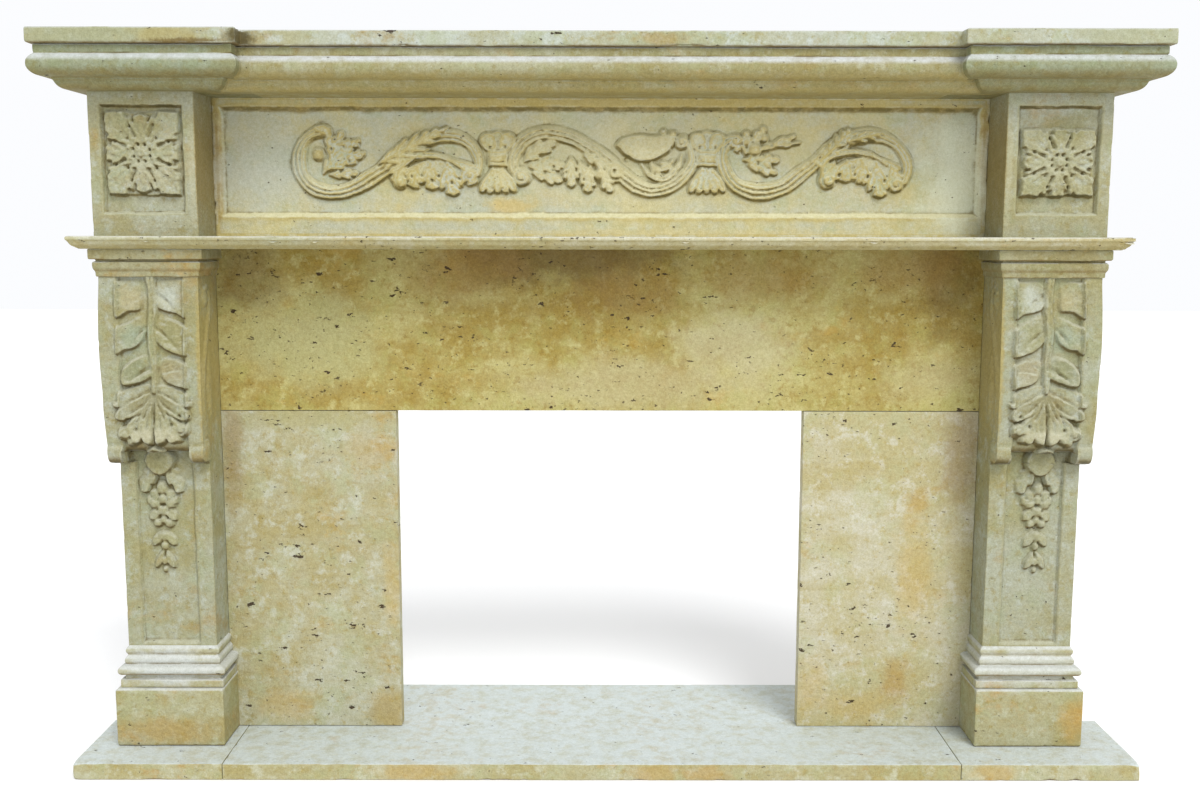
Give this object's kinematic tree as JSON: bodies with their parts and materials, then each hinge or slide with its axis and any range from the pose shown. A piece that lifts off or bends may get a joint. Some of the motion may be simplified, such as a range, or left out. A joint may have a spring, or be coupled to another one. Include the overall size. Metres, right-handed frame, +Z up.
{
  "type": "fireplace mantel",
  "caption": "Carved travertine fireplace mantel: stepped shelf and cornice, scroll frieze with rosette blocks, console legs on plinths, slips round the firebox opening, and a hearth slab.",
  "frame": {"origin": "on the floor under the hearth, on the centre line of the mantel, in the plane of the wall behind it", "axes": "+X to the viewer's right along the shelf, -Y out of the wall towards the room, +Z up"},
  "size_m": [1.909, 0.404, 1.298],
  "materials": {
    "carved_stone": "carved travertine, honed, warm cream with worn highlights",
    "moulded_stone": "honed travertine mouldings, pale on their upper faces",
    "slip_stone": "honed travertine slab with open pits and ochre stains",
    "hearth_stone": "honed pale travertine slab",
    "plinth_stone": "honed travertine, ochre stained near the floor",
    "shelf_stone": "honed travertine slab, stained along its lower edge"
  },
  "bodies": {
    "root": {"hearth_left": "hearth_stone", "hearth_middle": "hearth_stone", "hearth_right": "hearth_stone", "plinth_left": "plinth_stone", "plinth_right": "plinth_stone", "leg_left": "carved_stone", "leg_right": "carved_stone", "capital_left": "moulded_stone", "capital_right": "moulded_stone", "slip_left": "slip_stone", "slip_right": "slip_stone", "slip_header": "slip_stone", "architrave": "moulded_stone", "frieze_block_left": "carved_stone", "frieze_block_right": "carved_stone", "frieze_panel": "carved_stone", "cornice_left": "moulded_stone", "cornice_middle": "moulded_stone", "cornice_right": "moulded_stone", "shelf": "shelf_stone"}
  },
  "joints": []
}
